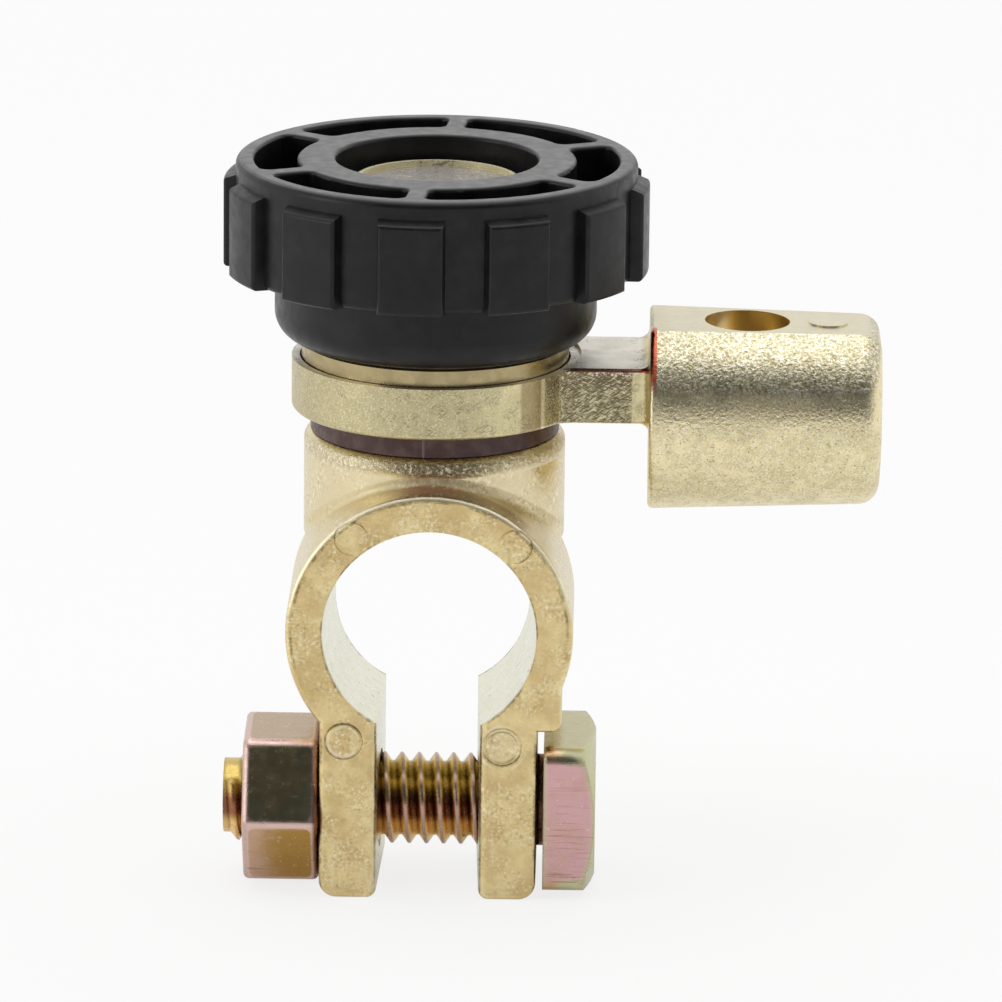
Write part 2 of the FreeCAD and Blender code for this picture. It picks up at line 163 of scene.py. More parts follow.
def bumps(tree, shader, layers, normal=None):
    """Stacks bump layers of (height, depth in metres) and gives them to the shader."""
    for height, depth in layers:
        inputs = {"Height": height, "Distance": depth, "Strength": 1.0}
        if normal:
            inputs["Normal"] = normal
        normal = add_node(tree, "ShaderNodeBump", inputs).outputs["Normal"]
    tree.links.new(normal, shader.inputs["Normal"])


def mark_rim(tree, axes, x, z, radius, half_width):
    """1 on a ring of the clamp's front round the given place in millimetres."""
    return within(tree, distance(tree, axes["X"], axes["Z"], x * mm, z * mm),
                  (radius - half_width) * mm, (radius + half_width) * mm, 0.07 * mm)


def clamp_finish():
    material, tree, shader, place = new_finish("tumbled_cast_brass", Metallic=1.0)
    skin = (0.96, 0.79, 0.42)
    skin_deep = (0.78, 0.59, 0.28)
    boss_skin = (0.80, 0.69, 0.44)
    rounding_dark_reflection = (0.26, 0.21, 0.13)
    wall = (0.86, 0.85, 0.70)
    pit = (0.22, 0.16, 0.06)
    edge_shade = (0.20, 0.15, 0.06)
    speck_and_highlight = (1.0, 0.93, 0.68)
    band_tone = (0.60, 0.30, 0.21)
    strip_side_reflection = (0.40, 0.28, 0.14)
    lower_left_mark, lower_right_mark = (-7.3, -9.6), (6.4, -9.95)
    upper_left_mark, upper_right_mark = (-6.71, 8.59), (7.31, 8.09)
    bore_r, ring_r = 9.25, 12.5
    lug_inner_x, lug_outer_x = 4.45, 9.35
    axes = add_node(tree, "ShaderNodeSeparateXYZ", {"Vector": place}).outputs
    aside = maths(tree, "ABSOLUTE", axes["X"])
    behind_front = ramp(tree, axes["Y"], -14.66 * mm, -14.4 * mm)
    across = distance(tree, axes["X"], axes["Z"])
    in_bore = product(tree, ramp(tree, across, (bore_r + 0.05) * mm, (bore_r - 0.05) * mm), behind_front)
    in_gap = product(tree, ramp(tree, aside, 4.6 * mm, 4.48 * mm),
                     ramp(tree, axes["Z"], -6 * mm, -7 * mm), behind_front)
    on_wall = maths(tree, "MAXIMUM", in_bore, in_gap)
    cloudy = ramp(tree, grain(tree, place, 3.0 * mm, 3.0), 0.35, 0.65)
    fine = grain(tree, place, 0.32 * mm, 3.0, 0.65)
    broken = product(tree, ramp(tree, grain(tree, place, 0.4 * mm, 3.0, 0.7), 0.38, 0.58, 0.3, 1.0),
                     ramp(tree, grain(tree, place, 2.4 * mm, 2.0), 0.42, 0.56))
    blotches = ramp(tree, grain(tree, place, 0.9 * mm, 3.0), 0.44, 0.62, 0.0, 0.4)
    colour = blend_colours(tree, cloudy, skin, skin_deep)
    colour = blend_colours(tree, blotches, colour, skin_deep)
    colour = blend_colours(tree, behind_front, colour, boss_skin)
    # Painted dark reflection on the boss's rounded top edge, darkest in the middle, with painted glints on
    # it.
    on_rounding = product(tree, within(tree, axes["Z"], 13.6 * mm, 14.1 * mm, 0.6 * mm), behind_front)
    in_middle = ramp(tree, maths(tree, "ABSOLUTE", maths(tree, "SUBTRACT", axes["X"], 0.6 * mm)),
                     7.0 * mm, 2.5 * mm, 0.2, 0.95)
    colour = blend_colours(tree, product(tree, on_rounding, in_middle), colour, rounding_dark_reflection)
    sparkle = grain(tree, place, 0.4 * mm, 3.0, 0.7)
    glints = product(tree, ramp(tree, sparkle, 0.54, 0.62), on_rounding, 0.9)
    colour = blend_colours(tree, glints, colour, speck_and_highlight)
    # Painted reddish reflection on the ring's outer strip below the boss.
    on_strip = product(tree, within(tree, axes["Y"], -14.4 * mm, -11.6 * mm, 0.2 * mm),
                       ramp(tree, axes["Z"], 10 * mm, 11.5 * mm),
                       within(tree, axes["X"], -1.2 * mm, 1.6 * mm, 2.6 * mm),
                       ramp(tree, across, (ring_r + 0.4) * mm, ring_r * mm))
    colour = blend_colours(tree, maths(tree, "MULTIPLY", on_strip, 0.7), colour, band_tone)
    # Painted dark brown reflection on the right part of the ring's outer strip.
    beside_strip = product(tree, within(tree, axes["Y"], -14.4 * mm, -11.6 * mm, 0.2 * mm),
                           within(tree, axes["X"], 3.4 * mm, 7.6 * mm, 1.4 * mm),
                           ramp(tree, axes["Z"], 8 * mm, 9.5 * mm),
                           ramp(tree, across, (ring_r + 0.5) * mm, (ring_r + 0.1) * mm))
    colour = blend_colours(tree, maths(tree, "MULTIPLY", beside_strip, 0.6), colour, strip_side_reflection)
    colour = blend_colours(tree, on_wall, colour, wall)
    pits = ramp(tree, grain(tree, place, 0.6 * mm, 3.0, 0.6), 0.67, 0.72)
    pitted = product(tree, pits, ramp(tree, on_wall, 0.0, 1.0, 0.2, 1.0))
    colour = blend_colours(tree, pitted, colour, pit)
    patchy = ramp(tree, grain(tree, place, 2.2 * mm, 2.0), 0.4, 0.62, 0.15, 1.0)
    off_wall = ramp(tree, on_wall, 0.0, 1.0, 1.0, 0.2)
    colour = blend_colours(tree, product(tree, ramp(tree, fine, 0.52, 0.64, 0.0, 0.85), patchy, off_wall),
                           colour, speck_and_highlight)
    colour = blend_colours(tree, product(tree, ramp(tree, fine, 0.46, 0.32, 0.0, 0.35), patchy, off_wall),
                           colour, pit)
    at_front = ramp(tree, behind_front, 0.0, 1.0, 1.0, 0.0)
    # Painted shade along the front's edges: the lugs' edges, the ring's outer edge and the bore's edge.
    lug_edges = maths(tree, "MAXIMUM",
                      within(tree, aside, (lug_outer_x - 0.15) * mm, (lug_outer_x + 0.15) * mm, 0.12 * mm),
                      within(tree, aside, (lug_inner_x - 0.15) * mm, (lug_inner_x + 0.15) * mm, 0.1 * mm))
    ring_edge = product(tree, within(tree, across, 11.86 * mm, 12.0 * mm, 0.1 * mm),
                        ramp(tree, axes["Z"], -4 * mm, -2 * mm))
    bore_edge = product(tree, within(tree, across, (bore_r - 0.1) * mm, (bore_r + 0.09) * mm, 0.08 * mm),
                        ramp(tree, aside, 4.6 * mm, 5.2 * mm))
    edges = maths(tree, "MAXIMUM", product(tree, lug_edges, ramp(tree, axes["Z"], -8.2 * mm, -8.8 * mm)),
                  maths(tree, "MAXIMUM", ring_edge, bore_edge))
    shaded_edges = product(tree, edges, broken, ramp(tree, axes["Y"], -14.0 * mm, -14.4 * mm), 0.65)
    colour = blend_colours(tree, shaded_edges, colour, edge_shade)
    # A painted highlight along the ring's rounded outer edge; the bright colour also serves for fine
    # specks.
    ring_edge_highlight = product(tree, within(tree, across, 12.14 * mm, 12.32 * mm, 0.08 * mm),
                          ramp(tree, axes["Y"], -14.2 * mm, -14.5 * mm),
                          ramp(tree, axes["Z"], 0 * mm, 5 * mm))
    colour = blend_colours(tree, maths(tree, "MULTIPLY", ring_edge_highlight, 0.9), colour, speck_and_highlight)
    rims = mark_rim(tree, axes, *lower_left_mark, 1.55, 0.06)
    for radius in (1.7, 1.4):
        rims = maths(tree, "MAXIMUM", rims, mark_rim(tree, axes, *lower_right_mark, radius, 0.04))
    for (x, z), side in ((upper_left_mark, -1.0), (upper_right_mark, 1.0)):
        outer_half = ramp(tree, maths(tree, "MULTIPLY", axes["X"], side), (abs(x) - 0.3) * mm,
                          (abs(x) + 0.5) * mm)
        outer_rim = product(tree, mark_rim(tree, axes, x, z, 1.4, 0.05), outer_half)
        rims = maths(tree, "MAXIMUM", rims, outer_rim)
    # Painted shade along the back edge of the bore and slot walls.
    back_edge = product(tree, on_wall, ramp(tree, axes["Y"], -1.85 * mm, -1.65 * mm), broken)
    colour = blend_colours(tree, maths(tree, "MULTIPLY", back_edge, 0.8), colour, edge_shade)
    # Painted edge shade on the ejector marks' rims, which also get a shallow groove in the bump.
    colour = blend_colours(tree, product(tree, rims, broken, at_front, 0.6), colour, edge_shade)
    # Painted highlights on the lit edges of the ejector marks.
    right_x, right_z = lower_right_mark
    mark_highlights = maths(tree, "MAXIMUM", mark_rim(tree, axes, *lower_left_mark, 1.35, 0.1),
                  mark_rim(tree, axes, right_x, right_z - 0.1, 1.95, 0.1))
    colour = blend_colours(tree, product(tree, mark_highlights, broken, at_front, 0.6), colour, speck_and_highlight)
    tree.links.new(colour, shader.inputs["Base Color"])
    dull = ramp(tree, grain(tree, place, 0.8 * mm, 3.0), 0.3, 0.7, 0.0, 0.1)
    in_blend = product(tree, within(tree, across, ring_r * mm, (ring_r + 0.6) * mm, 0.2 * mm),
                       ramp(tree, axes["Z"], 6 * mm, 8 * mm), behind_front)
    soft = maths(tree, "ADD", dull, maths(tree, "MULTIPLY", in_blend, 0.3))
    tree.links.new(maths(tree, "ADD", soft, ramp(tree, behind_front, 0.0, 1.0, 0.42, 0.24)),
                   shader.inputs["Roughness"])
    bumps(tree, shader, [(product(tree, grain(tree, place, 1.6 * mm, 2.0), off_wall), 0.07 * mm),
                         (product(tree, fine, off_wall), 0.03 * mm),
                         (maths(tree, "MULTIPLY", sparkle, on_rounding), 0.22 * mm),
                         (maths(tree, "MULTIPLY", rims, at_front), -0.04 * mm)])
    return material


frame["nodes"]["clamp_body"].material_slots[0].material = clamp_finish()


# The clamp bolt: a square-headed M8 steel screw, forged and thread-rolled, yellow zinc plated.
# Its head lies under the clamp's ledge, so that it can't turn with the nut.
bolt_pitch = 1.5 * mm
bolt_crest_r = 4.0 * mm
bolt_root_r = 3.25 * mm
ridge_sunk = 0.1 * mm


def plating(name, front, top, cone, low, edge_highlight, seat, flats, twist, thread=None, facet=None):
    """Yellow zinc plate, each face coloured by how it turns: partly film tint, partly painted reflection.

    The flats lie round the X axis, turned by the twist in degrees. A thread is (axis y, axis z,
    end x); a facet is (middle x, half length, half width, corner radius, axis y, axis z).
    """
    material, tree, shader, place = new_finish(name, Metallic=1.0)
    worn_edges = add_node(tree, "ShaderNodeBevel", {"Radius": 0.7 * mm}, samples=6).outputs["Normal"]
    turned = add_node(tree, "ShaderNodeVectorTransform", {"Vector": worn_edges}, vector_type="NORMAL",
                      convert_from="WORLD", convert_to="OBJECT").outputs["Vector"]
    facing = add_node(tree, "ShaderNodeSeparateXYZ", {"Vector": turned}).outputs
    axes = add_node(tree, "ShaderNodeSeparateXYZ", {"Vector": place}).outputs
    film = ramp(tree, grain(tree, place, 3.0 * mm, 2.0), 0.4, 0.6)
    colour = blend_colours(tree, maths(tree, "MULTIPLY", film, 0.2), front, low)
    colour = blend_colours(tree, ramp(tree, facing["Z"], 0.55, 0.9), colour, top)
    under = maths(tree, "ADD", maths(tree, "MULTIPLY", film, 0.3),
                  ramp(tree, axes["X"], -15.8 * mm, -12.0 * mm))
    below = blend_colours(tree, ramp(tree, under, 0.1, 1.2), blend_colours(tree, 0.5, edge_highlight, low), low)
    colour = blend_colours(tree, ramp(tree, facing["Z"], -0.2, -0.5), colour, below)
    angle = maths(tree, "ARCTAN2", facing["Z"], maths(tree, "MULTIPLY", facing["Y"], -1.0))
    turned_angle = maths(tree, "ADD", angle, math.radians(twist))
    on_flat = maths(tree, "COSINE", maths(tree, "MULTIPLY", turned_angle, flats))
    # A painted highlight on the rounded edges, found by the normal's turn round the X axis.
    colour = blend_colours(tree, ramp(tree, on_flat, 0.86, 0.5), colour, edge_highlight)
    # The facet's rounded border also gets the painted highlight.
    if facet:
        middle_x, half_length, half_width, corner, axis_y, axis_z = facet
        bearing = maths(tree, "ARCTAN2", maths(tree, "SUBTRACT", axes["Z"], axis_z),
                        maths(tree, "SUBTRACT", axis_y, axes["Y"]))
        off_middle = maths(tree, "PINGPONG", maths(tree, "ADD", bearing, math.radians(twist)),
                           math.pi / flats)
        sideways = maths(tree, "MULTIPLY", maths(tree, "SINE", off_middle),
                         distance(tree, axes["Y"], axes["Z"], axis_y, axis_z))
        lengthways = maths(tree, "ABSOLUTE", maths(tree, "SUBTRACT", axes["X"], middle_x))
        past = [maths(tree, "MAXIMUM", maths(tree, "SUBTRACT", value, half - corner), 0.0)
                for value, half in ((lengthways, half_length), (sideways, half_width))]
        outside = ramp(tree, distance(tree, *past), corner - 0.08 * mm, corner + 0.12 * mm)
        colour = blend_colours(tree, outside, colour, edge_highlight)
    off_flats = ramp(tree, maths(tree, "ABSOLUTE", facing["X"]), 0.12, 0.3)
    colour = blend_colours(tree, off_flats, colour, cone)
    colour = blend_colours(tree, ramp(tree, facing["X"], 0.2, 0.5), colour, seat)
    if thread:
        axis_y, axis_z, thread_end = thread
        away = distance(tree, axes["Y"], axes["Z"], axis_y, axis_z)
        rise = maths(tree, "SUBTRACT", axes["Z"], axis_z)
        # Painted reflection on the thread: dark across the middle, gold above and bright orange below.
        valley_reflection = blend_colours(tree, ramp(tree, rise, 0.6 * mm, 2.2 * mm), (0.34, 0.15, 0.07),
                               (0.66, 0.49, 0.15))
        valley_reflection = blend_colours(tree, ramp(tree, rise, -0.4 * mm, -1.6 * mm), valley_reflection, (0.92, 0.62, 0.24))
        rolled = blend_colours(tree, ramp(tree, away, 3.82 * mm, 3.96 * mm), valley_reflection, (0.50, 0.33, 0.26))
        on_thread = ramp(tree, axes["X"], thread_end + 0.1 * mm, thread_end)
        colour = blend_colours(tree, on_thread, colour, rolled)
    streaks = grain(tree, place, 0.16 * mm, 2.0, 0.6, stretch=(30, 1.5, 1))
    scraped = product(tree, ramp(tree, streaks, 0.60, 0.67, 0.0, 0.6),
                      ramp(tree, axes["Z"], -12 * mm, -19 * mm, 0.2, 1.0))
    colour = blend_colours(tree, scraped, colour, (0.34, 0.20, 0.15))
    worn = ramp(tree, grain(tree, place, 0.5 * mm, 4.0, 0.65), 0.60, 0.70, 0.0, 0.5)
    colour = blend_colours(tree, worn, colour, (0.80, 0.70, 0.56))
    tree.links.new(colour, shader.inputs["Base Color"])
    tree.links.new(ramp(tree, grain(tree, place, 1.0 * mm, 3.0), 0.3, 0.7, 0.18, 0.29),
                   shader.inputs["Roughness"])
    bumps(tree, shader, [(grain(tree, place, 1.4 * mm, 2.0), 0.02 * mm), (streaks, 0.008 * mm),
                         (grain(tree, place, 0.25 * mm, 2.0), 0.006 * mm)], worn_edges)
    return material


def thread_ridge(name, crest_r, root_r, pitch, length, start, direction, phase, finish):
    """A rolled thread's ridge: a trapezium swept along a right-hand helix by geometry nodes."""
    tree = bpy.data.node_groups.new(name + "_tree", "GeometryNodeTree")
    for label in ("Crest radius", "Root radius", "Pitch", "Length"):
        tree.interface.new_socket(label, in_out="INPUT", socket_type="NodeSocketFloat")
    tree.interface.new_socket("Geometry", in_out="OUTPUT", socket_type="NodeSocketGeometry")
    given = tree.nodes.new("NodeGroupInput").outputs

    def number(operation, first, second):
        made = tree.nodes.new("ShaderNodeMath")
        made.operation = operation
        for index, value in enumerate((first, second)):
            if isinstance(value, bpy.types.NodeSocket):
                tree.links.new(value, made.inputs[index])
            else:
                made.inputs[index].default_value = value
        return made.outputs[0]

    crest_share, root_share = 0.12, 0.92
    depth = number("SUBTRACT", given["Crest radius"], given["Root radius"])
    middle = number("MULTIPLY", number("ADD", given["Crest radius"], given["Root radius"]), 0.5)
    helix = add_node(tree, "GeometryNodeCurveSpiral", {
        "Resolution": 40, "Reverse": True, "Rotations": number("DIVIDE", given["Length"], given["Pitch"]),
        "Start Radius": middle, "End Radius": middle, "Height": given["Length"]})
    steady = add_node(tree, "GeometryNodeSetCurveNormal", {"Curve": helix.outputs["Curve"]}, mode="Z_UP")
    ridge = add_node(tree, "GeometryNodeCurvePrimitiveQuadrilateral", {
        "Height": depth, "Bottom Width": number("MULTIPLY", given["Pitch"], crest_share),
        "Top Width": number("MULTIPLY", given["Pitch"], root_share), "Offset": 0.0}, mode="TRAPEZOID")
    upright = add_node(tree, "GeometryNodeTransform", {"Geometry": ridge.outputs["Curve"],
                                                       "Rotation": (0, 0, math.pi / 2)})
    swept = add_node(tree, "GeometryNodeCurveToMesh", {
        "Curve": steady.outputs["Curve"], "Profile Curve": upright.outputs["Geometry"], "Fill Caps": True})
    real = add_node(tree, "GeometryNodeRealizeInstances", {"Geometry": swept.outputs["Mesh"]})
    coated = add_node(tree, "GeometryNodeSetMaterial", {"Geometry": real.outputs["Geometry"],
                                                        "Material": finish})
    tree.links.new(coated.outputs["Geometry"], tree.nodes.new("NodeGroupOutput").inputs["Geometry"])

    holder = bpy.data.objects.new(name + "_holder", bpy.data.meshes.new(name + "_holder"))
    bpy.context.scene.collection.objects.link(holder)
    modifier = holder.modifiers.new("thread", "NODES")
    modifier.node_group = tree
    sizes = {"Crest radius": crest_r, "Root radius": root_r, "Pitch": pitch, "Length": length}
    for item in tree.interface.items_tree:
        if item.in_out == "INPUT":
            modifier[item.identifier] = sizes[item.name]
    bpy.context.view_layer.update()
    mesh = bpy.data.meshes.new_from_object(holder.evaluated_get(bpy.context.evaluated_depsgraph_get()))
    bpy.data.objects.remove(holder)
    for vertex in mesh.vertices:
        away = math.hypot(vertex.co.x, vertex.co.y)
        from_end = min(vertex.co.z, length - vertex.co.z) + 0.5 * pitch
        reach = root_r + (crest_r - root_r) * min(max(from_end / (0.9 * pitch), 0.0), 1.0)
        if away > reach:
            vertex.co.x *= reach / away
            vertex.co.y *= reach / away
    turn = Vector((0, 0, 1)).rotation_difference(direction).to_matrix().to_4x4()
    mesh.transform(Matrix.Translation(start) @ turn @ Matrix.Rotation(phase, 4, "Z"))
    return mesh


def threaded_copy(name, node, ridge, finish, steps, narrow):
    """A copy of a screw's solid with its plain thread turned down to the root, and the ridge on it."""
    shape = bmesh.new()
    shape.from_mesh(frame["nodes"][node].data)
    bmesh.ops.remove_doubles(shape, verts=shape.verts, dist=0.001 * mm)
    for step in steps:
        whole = shape.verts[:] + shape.edges[:] + shape.faces[:]
        bmesh.ops.bisect_plane(shape, geom=whole, plane_co=(step, 0, 0), plane_no=(1, 0, 0))
    for vertex in shape.verts:
        narrow(vertex)
    for face in shape.faces:
        face.material_index = 0
    shape.from_mesh(ridge)
    mesh = bpy.data.meshes.new(name)
    shape.to_mesh(mesh)
    shape.free()
    mesh.materials.append(finish)
    screw = bpy.data.objects.new(name, mesh)
    bpy.context.scene.collection.objects.link(screw)
    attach(screw, frame["nodes"][node]["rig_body"])
    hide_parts(node)
    return screw


bolt_low, bolt_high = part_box("clamp_bolt")
bolt_axis_y = (bolt_low.y + bolt_high.y) / 2
bolt_axis_z = (bolt_low.z + bolt_high.z) / 2
head_length = 4.5 * mm
shank_end = bolt_high.x - head_length
# The bolt's face colours are partly film tint and partly painted reflection, with an orange painted
# highlight on rounded edges.
bolt_plate = plating(
    "yellow_zinc_bolt", (0.68, 0.41, 0.425), (0.52, 0.47, 0.27), (0.60, 0.58, 0.36), (0.56, 0.36, 0.16),
    (0.66, 0.42, 0.24), (0.60, 0.58, 0.36), 4, 0, thread=(bolt_axis_y, bolt_axis_z, shank_end))
plain_shank_x = shank_end - 0.9 * mm
ridge_start_x = bolt_low.x + bolt_pitch / 2
bolt_ridge_turn = math.radians(229)
bolt_ridge_start = Vector((ridge_start_x, bolt_axis_y, bolt_axis_z))
bolt_ridge = thread_ridge("bolt_ridge", bolt_crest_r, bolt_root_r - ridge_sunk, bolt_pitch,
                          plain_shank_x - ridge_start_x, bolt_ridge_start, Vector((1, 0, 0)),
                          bolt_ridge_turn, bolt_plate)


def turn_down_bolt(vertex):
    away = math.hypot(vertex.co.y - bolt_axis_y, vertex.co.z - bolt_axis_z)
    if vertex.co.x < plain_shank_x + 0.01 * mm and away > bolt_root_r:
        vertex.co.y = bolt_axis_y + (vertex.co.y - bolt_axis_y) * bolt_root_r / away
        vertex.co.z = bolt_axis_z + (vertex.co.z - bolt_axis_z) * bolt_root_r / away


threaded_copy("square_head_bolt", "clamp_bolt", bolt_ridge, bolt_plate,
              (plain_shank_x, plain_shank_x + 0.3 * mm), turn_down_bolt)


# The nut: a plain M8 hexagon nut, cold formed and zinc plated like the bolt, screwed up to the lug.
nut_low, nut_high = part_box("clamp_nut")
nut_facet = ((nut_low.x + nut_high.x) / 2, (nut_high.x - nut_low.x) / 2 - 0.6 * mm, 3.5 * mm, 0.95 * mm,
             bolt_axis_y, bolt_axis_z)
# The nut's dark front is a painted dark reflection, and its light pink border a painted highlight.
frame["nodes"]["clamp_nut"].material_slots[0].material = plating(
    "yellow_zinc_nut", (0.34, 0.32, 0.20), (0.50, 0.38, 0.26), (0.66, 0.48, 0.42), (0.48, 0.28, 0.07),
    (0.78, 0.56, 0.50), (0.22, 0.09, 0.05), 6, -27.1, facet=nut_facet)


# The insulating bush: a moulded dark red-brown plastic flange and sleeve that keeps the arm's
# ring off the boss. A fine mould seam runs down its flange.
def bush_finish():
    material, tree, shader, place = new_finish("red_brown_moulding", Specular_IOR_Level=0.45)
    body = (0.075, 0.030, 0.028)
    body_dusty = (0.12, 0.065, 0.055)
    seam = (0.19, 0.13, 0.12)
    axes = add_node(tree, "ShaderNodeSeparateXYZ", {"Vector": place}).outputs
    dust = ramp(tree, grain(tree, place, 1.2 * mm, 4.0), 0.4, 0.7)
    colour = blend_colours(tree, dust, body, body_dusty)
    from_seam = maths(tree, "ABSOLUTE", maths(tree, "ADD", axes["X"], 0.7 * mm))
    on_seam = ramp(tree, from_seam, 0.17 * mm, 0.04 * mm)
    colour = blend_colours(tree, on_seam, colour, seam)
    tree.links.new(colour, shader.inputs["Base Color"])
    tree.links.new(ramp(tree, grain(tree, place, 0.4 * mm, 2.0), 0.3, 0.7, 0.34, 0.5),
                   shader.inputs["Roughness"])
    bumps(tree, shader, [(on_seam, 0.05 * mm), (grain(tree, place, 0.3 * mm, 2.0), 0.01 * mm)])
    return material


bush_plastic = bush_finish()
frame["nodes"]["insulating_bush"].material_slots[0].material = bush_plastic
frame["nodes"]["upper_insulating_washer"].material_slots[0].material = bush_plastic


# The cable arm: ring, flat arm and cable socket in one brass casting. The socket keeps the coarse
# grain of its mould, the ring is nearly smooth, and the arm's faces are scratched from filing.
def arm_finish():
    material, tree, shader, place = new_finish("grained_cast_brass", Metallic=1.0)
    ring_skin = (0.54, 0.47, 0.27)
    ring_right = (0.76, 0.67, 0.38)
    socket_skin = (0.94, 0.82, 0.50)
    arm_skin = (0.42, 0.37, 0.22)
    cut_edge = (0.80, 0.74, 0.48)
    deep = (0.64, 0.56, 0.32)
    top_reflection = (0.86, 0.82, 0.72)
    socket_top_reflection = (0.74, 0.69, 0.54)
    shoulder_dark_reflection = (0.54, 0.48, 0.29)
    under_shoulder_highlight = (1.0, 0.86, 0.53)
    shadowed = (0.26, 0.19, 0.12)
    rosy = (1.0, 0.80, 0.72)
    inside = (0.86, 0.68, 0.32)
    band_tone = (0.40, 0.31, 0.16)
    red = (0.62, 0.10, 0.05)
    maroon = (0.22, 0.07, 0.05)
    speck_and_highlight = (1.0, 0.96, 0.80)
    hollow = (0.20, 0.16, 0.09)
    socket_axis_z, hole_x, hole_r = 17.0, 27.1, 3.7
    axes = add_node(tree, "ShaderNodeSeparateXYZ", {"Vector": place}).outputs
    facing = add_node(tree, "ShaderNodeSeparateXYZ",
                      {"Vector": add_node(tree, "ShaderNodeTexCoord").outputs["Normal"]}).outputs
    upward = facing["Z"]
    on_socket = ramp(tree, axes["X"], 17.9 * mm, 18.65 * mm)
    off_socket = ramp(tree, axes["X"], 18.65 * mm, 18.2 * mm)
    on_top = ramp(tree, upward, 0.8, 0.97)
    off_top = ramp(tree, upward, 0.97, 0.8)
    on_side = product(tree, within(tree, axes["X"], 9.8 * mm, 17.0 * mm, 0.25 * mm), off_top)
    beside_ring = product(tree, within(tree, axes["X"], 7.8 * mm, 9.2 * mm, 0.35 * mm),
                          ramp(tree, axes["Y"], -4 * mm, -6 * mm), off_top)
    coarse = grain(tree, place, 0.30 * mm, 2.0, 0.6)
    fine = grain(tree, place, 0.17 * mm, 2.0, 0.6)
    cloudy = ramp(tree, grain(tree, place, 2.4 * mm, 3.0), 0.35, 0.65)
    patches = ramp(tree, grain(tree, place, 1.3 * mm, 3.0), 0.46, 0.6)
    colour = blend_colours(tree, on_socket, ring_skin, socket_skin)
    colour = blend_colours(tree, maths(tree, "MULTIPLY", cloudy, 0.45), colour, deep)
    right_front = product(tree, ramp(tree, axes["X"], 2.5 * mm, 6.5 * mm), off_socket,
                          ramp(tree, axes["Y"], -3 * mm, -5 * mm))
    colour = blend_colours(tree, right_front, colour, ring_right)
    mottled = ramp(tree, grain(tree, place, 0.8 * mm, 3.0), 0.45, 0.6, 0.0, 0.45)
    colour = blend_colours(tree, mottled, colour, deep)
    colour = blend_colours(tree, on_side, colour, arm_skin)
    at_ring = product(tree, within(tree, axes["X"], 9.6 * mm, 11.2 * mm, 0.2 * mm), off_top,
                      ramp(tree, axes["Y"], -4 * mm, -5 * mm))
    colour = blend_colours(tree, maths(tree, "MULTIPLY", at_ring, 0.6), colour, cut_edge)
    in_shadow = product(tree, on_side, ramp(tree, axes["Z"], 19.0 * mm, 20.8 * mm), 0.7)
    colour = blend_colours(tree, in_shadow, colour, shadowed)
    # On the socket's round side: a painted highlight where faces turn slightly up, and a painted dark
    # reflection where they turn further up.
    shoulder = product(tree, on_socket, within(tree, upward, 0.42, 0.85, 0.14))
    flecks = grain(tree, place, 0.3 * mm, 3.0, 0.7)
    colour = blend_colours(tree, product(tree, on_socket, within(tree, upward, 0.08, 0.32, 0.1), 0.7),
                           colour, under_shoulder_highlight)
    colour = blend_colours(tree, maths(tree, "MULTIPLY", shoulder, 0.85), colour, shoulder_dark_reflection)
    bright_flecks = product(tree, shoulder, ramp(tree, flecks, 0.51, 0.60), 0.85)
    colour = blend_colours(tree, bright_flecks, colour, speck_and_highlight)
    dark_flecks = product(tree, shoulder, ramp(tree, flecks, 0.46, 0.38), 0.55)
    colour = blend_colours(tree, dark_flecks, colour, hollow)
    # Upward faces painted paler and greyer: a painted reflection of the bright overhead.
    colour = blend_colours(tree, product(tree, on_top, off_socket), colour, top_reflection)
    colour = blend_colours(tree, product(tree, on_top, on_socket, 0.85), colour, socket_top_reflection)
    # The faces beside the ring are coloured a darker brown.
    colour = blend_colours(tree, product(tree, beside_ring, 0.85), colour, band_tone)
    from_axis = distance(tree, axes["Y"], axes["Z"], 0.0, socket_axis_z * mm)
    from_hole = distance(tree, axes["Y"], axes["X"], 0.0, hole_x * mm)
    in_socket = product(tree, ramp(tree, from_axis, 7.0 * mm, 5.8 * mm), on_socket)
    in_hole = product(tree, ramp(tree, from_hole, (hole_r + 0.06) * mm, hole_r * mm),
                      ramp(tree, axes["Z"], 24.64 * mm, 24.56 * mm))
    is_inside = maths(tree, "MAXIMUM", in_socket, in_hole)
    colour = blend_colours(tree, is_inside, colour, inside)
    rough_share = product(tree, ramp(tree, on_socket, 0.0, 1.0, 0.45, 1.0),
                          ramp(tree, is_inside, 0.0, 1.0, 1.0, 0.0),
                          ramp(tree, on_top, 0.0, 1.0, 1.0, 0.25),
                          ramp(tree, beside_ring, 0.0, 1.0, 1.0, 0.4))
    colour = blend_colours(tree, product(tree, ramp(tree, fine, 0.54, 0.66, 0.0, 0.85), rough_share),
                           colour, speck_and_highlight)
    colour = blend_colours(tree, product(tree, ramp(tree, fine, 0.40, 0.30, 0.0, 0.7), rough_share),
                           colour, hollow)
    along = grain(tree, place, 0.12 * mm, 1.0, 0.5, stretch=(6.0, 1.0, 1.0), turn=(0.0, -0.62, 0.0))
    crossing = grain(tree, place, 0.12 * mm, 1.0, 0.5, stretch=(5.0, 1.0, 1.0), turn=(0.0, 0.35, 0.0))
    ridges = maths(tree, "MAXIMUM", ramp(tree, along, 0.56, 0.64), ramp(tree, crossing, 0.58, 0.66))
    grooves = maths(tree, "MAXIMUM", ramp(tree, along, 0.44, 0.36), ramp(tree, crossing, 0.42, 0.34))
    filed = maths(tree, "MAXIMUM", on_side, product(tree, patches, off_top, off_socket, 0.4))
    colour = blend_colours(tree, product(tree, ridges, filed, 0.9), colour, cut_edge)
    colour = blend_colours(tree, product(tree, grooves, filed, 0.85), colour, hollow)
